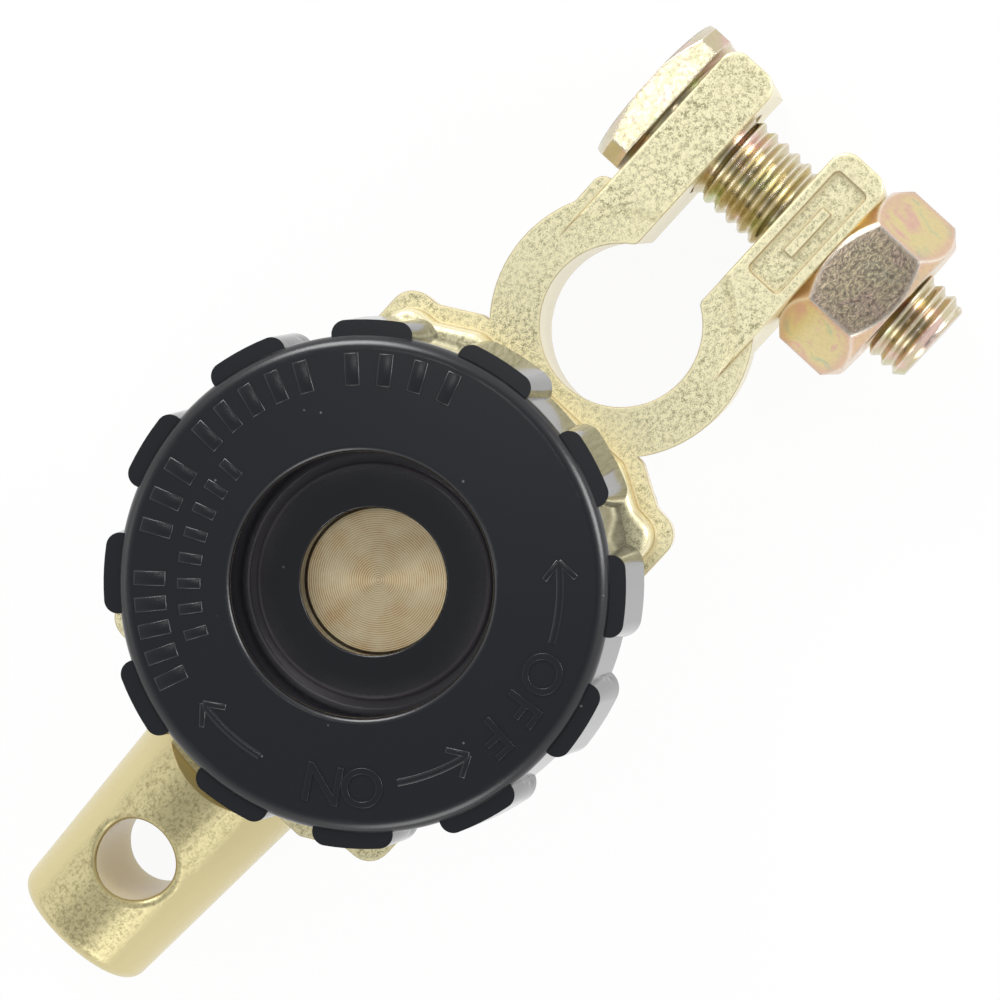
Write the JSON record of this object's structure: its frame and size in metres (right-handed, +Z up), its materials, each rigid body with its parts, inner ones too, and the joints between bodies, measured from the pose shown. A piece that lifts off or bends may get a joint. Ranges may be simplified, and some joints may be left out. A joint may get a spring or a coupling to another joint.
{
  "type": "battery terminal disconnect switch",
  "caption": "Battery terminal disconnect switch: a post clamp with bolt and nut, a black ribbed turn knob with a brass contact screw, and a round cable post with a cross hole.",
  "frame": {"origin": "on the axis of the post socket, level with the underside of the clamp ring", "axes": "+Z up the post socket towards the knob's face, +X from the knob to the clamp ears, +Y towards the bolt head"},
  "size_m": [0.1137, 0.0512, 0.035],
  "materials": {
    "casting": "cast, thin pale yellow plating, smooth on the sides and grainy on the tops",
    "contact_brass": "turned, with fine rings",
    "knob_plastic": "moulded, satin face and glossy sides",
    "yellow_zinc_steel": "steel with iridescent yellow zinc plating",
    "insulator_plastic": "plain moulded",
    "spring_steel": "dark oiled"
  },
  "bodies": {
    "switch_body": {"clamp_casting": "casting", "post_casting": "casting", "insulator_plate": "insulator_plastic", "centre_sleeve": "insulator_plastic", "contact_washer": "contact_brass", "plate_screw_1": "yellow_zinc_steel", "plate_screw_2": "yellow_zinc_steel", "plate_screw_3": "yellow_zinc_steel", "plate_screw_4": "yellow_zinc_steel", "screw_bush_1": "insulator_plastic", "screw_bush_2": "insulator_plastic", "screw_bush_3": "insulator_plastic", "screw_bush_4": "insulator_plastic", "screw_washer_1": "yellow_zinc_steel", "screw_washer_2": "yellow_zinc_steel", "screw_washer_3": "yellow_zinc_steel", "screw_washer_4": "yellow_zinc_steel"},
    "clip_body": {"retaining_clip": "spring_steel"},
    "knob_body": {"knob": "knob_plastic", "contact_screw": "contact_brass"},
    "bolt_body": {"clamp_bolt": "yellow_zinc_steel"},
    "nut_body": {"clamp_nut": "yellow_zinc_steel"}
  },
  "joints": [
    {"name": "knob_lift", "type": "slide", "parent": "switch_body", "child": "clip_body", "axis": [0, 0, 1], "range_m": [0, 0.0035]},
    {"name": "knob_turn", "type": "hinge", "parent": "clip_body", "child": "knob_body", "pos_m": [-0.0337, 0, 0.02], "axis": [0, 0, 1], "range_deg": [0, 720]},
    {"name": "nut_turn", "type": "hinge", "parent": "switch_body", "child": "nut_body", "pos_m": [0.01925, -0.0145, 0.01], "axis": [0, -1, 0], "range_deg": [0, 1080]},
    {"name": "bolt_back_out", "type": "slide", "parent": "switch_body", "child": "bolt_body", "axis": [0, 1, 0], "range_m": [0, 0.0045]}
  ],
  "couplings": [
    {"joint": "knob_lift", "follows": "knob_turn", "m_per_rad": 0.00027852},
    {"joint": "nut_turn", "follows": "bolt_back_out", "rad_per_m": 4188.8}
  ]
}
